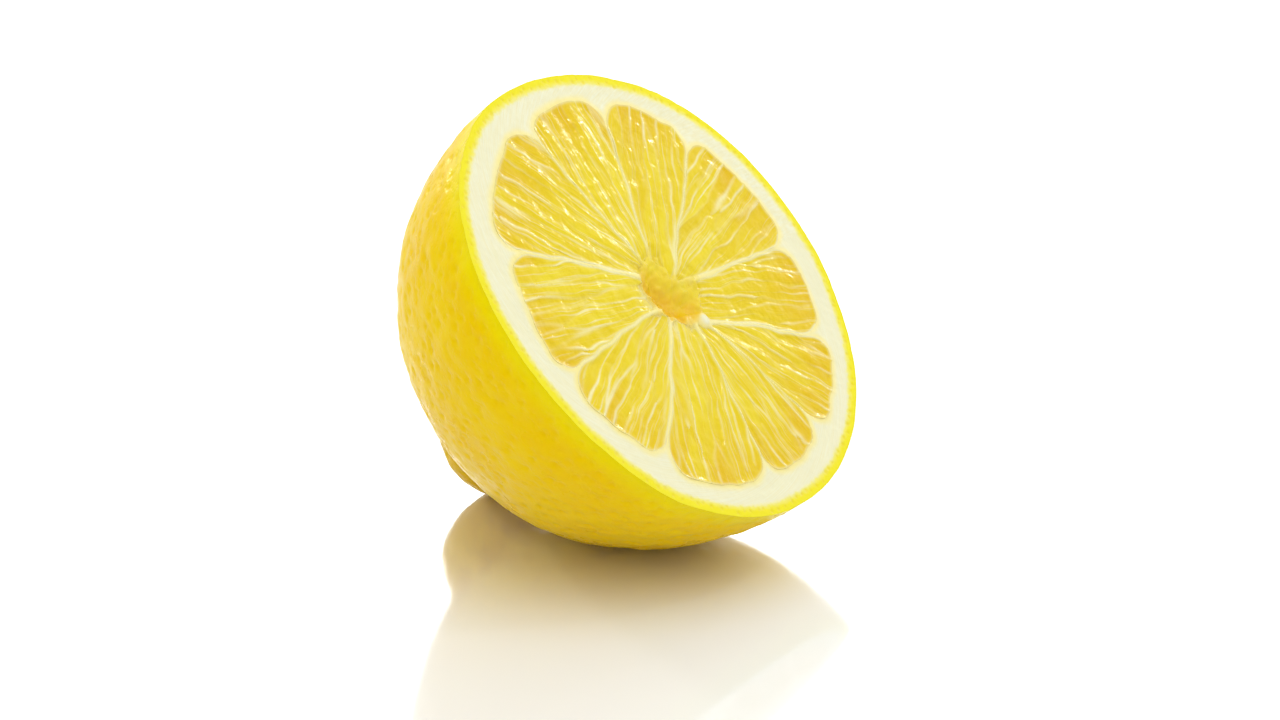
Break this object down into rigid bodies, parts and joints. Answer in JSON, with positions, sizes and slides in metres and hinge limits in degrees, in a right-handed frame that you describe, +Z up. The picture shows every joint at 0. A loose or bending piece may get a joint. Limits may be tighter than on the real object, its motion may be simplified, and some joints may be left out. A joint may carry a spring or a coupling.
{
  "type": "half lemon",
  "caption": "Half a lemon cut across its middle, lying on its flank and nipple with the cut face turned up; food prop or still-life fruit.",
  "frame": {"origin": "on the ground, under the middle of the fruit's box", "axes": "+Z up; the cut face looks towards -Y and 38.5 degrees up, and the nipple points to +Y and down; +X runs across the cut face"},
  "size_m": [0.0592, 0.0538, 0.0561],
  "materials": {
    "rind": "satin",
    "pith": "matte",
    "pulp": "gloss"
  },
  "bodies": {
    "root": {"lemon_half": "rind"}
  },
  "joints": []
}
